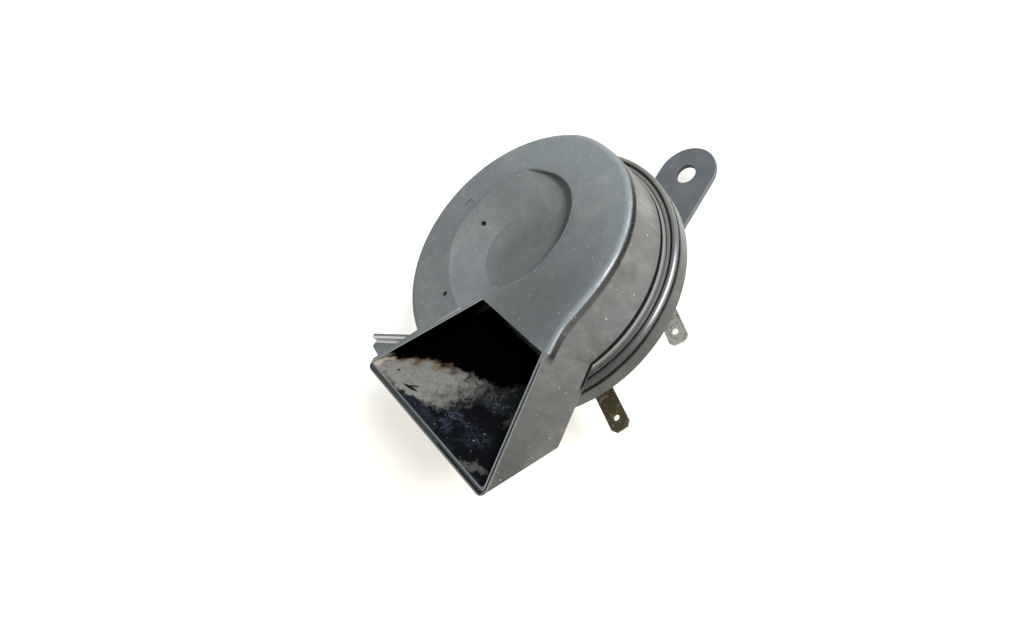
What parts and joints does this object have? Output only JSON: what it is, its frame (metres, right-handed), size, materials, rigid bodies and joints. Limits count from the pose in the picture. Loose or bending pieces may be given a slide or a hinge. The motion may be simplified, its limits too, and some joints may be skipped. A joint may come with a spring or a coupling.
{
  "type": "car horn",
  "caption": "Electric car horn: dark snail-shaped trumpet with a flared mouth, on a round steel housing with a fixing strip and push-on terminal blades.",
  "frame": {"origin": "middle of the fixing strip's hole, on the strip's rear face", "axes": "+Z along the horn's axis from the strip to the front of the trumpet, -Y along the fixing strip from its hole to the horn's axis, +X towards the terminal blades"},
  "size_m": [0.0906, 0.1399, 0.0635],
  "materials": {
    "trumpet_plastic": "satin, dusty",
    "painted_steel": "satin black, worn",
    "spring_steel": "satin",
    "gasket_fibre": "matte",
    "bare_steel": "zinc plated, dull",
    "copper_wire": "enamelled wire",
    "insulating_board": "matte",
    "bronze_leaf": "satin",
    "contact_metal": "matte",
    "tinned_brass": "tarnished"
  },
  "bodies": {
    "horn": {"trumpet_shell": "trumpet_plastic", "trumpet_base": "trumpet_plastic", "rear_housing": "painted_steel", "fixing_strip": "painted_steel", "diaphragm": "spring_steel", "front_gasket": "gasket_fibre", "rear_gasket": "gasket_fibre", "pole_core_stud": "bare_steel", "pole_plate": "bare_steel", "fixed_arm": "bare_steel", "pole_plate_rivets": "bare_steel", "stack_rivet": "bare_steel", "spring_washer": "bare_steel", "stud_nuts": "bare_steel", "adjuster_bush": "bare_steel", "coil_winding": "copper_wire", "coil_bobbin": "insulating_board", "terminal_plate": "insulating_board", "lower_insulator": "insulating_board", "middle_insulator": "insulating_board", "upper_insulator": "insulating_board", "stack_sleeve": "insulating_board", "terminal_washers": "insulating_board", "contact_leaf": "bronze_leaf", "arm_contact": "contact_metal", "coil_blade": "tinned_brass", "breaker_blade": "tinned_brass", "terminal_rivets": "tinned_brass"},
    "armature": {"armature": "bare_steel", "armature_washer": "bare_steel", "armature_nut": "bare_steel", "breaker_button": "insulating_board"},
    "leaf_contact": {"leaf_contact": "contact_metal"},
    "adjusting_screw": {"adjusting_screw": "bare_steel"}
  },
  "joints": [
    {"name": "armature_slide", "type": "slide", "parent": "horn", "child": "armature", "axis": [0, 0, -1], "range_m": [0, 0.0007], "stiffness_N_per_m": 90000, "deforming": ["diaphragm", "contact_leaf"]},
    {"name": "leaf_contact_slide", "type": "slide", "parent": "horn", "child": "leaf_contact", "axis": [0, 0, -1], "range_m": [0, 0.000134]},
    {"name": "adjuster_turn", "type": "hinge", "parent": "horn", "child": "adjusting_screw", "pos_m": [-0.02787, -0.06173, 0.0185], "axis": [0, 0, -1], "range_deg": [-90, 90]}
  ],
  "couplings": [
    {"joint": "leaf_contact_slide", "follows": "armature_slide", "ratio": 0.19}
  ]
}
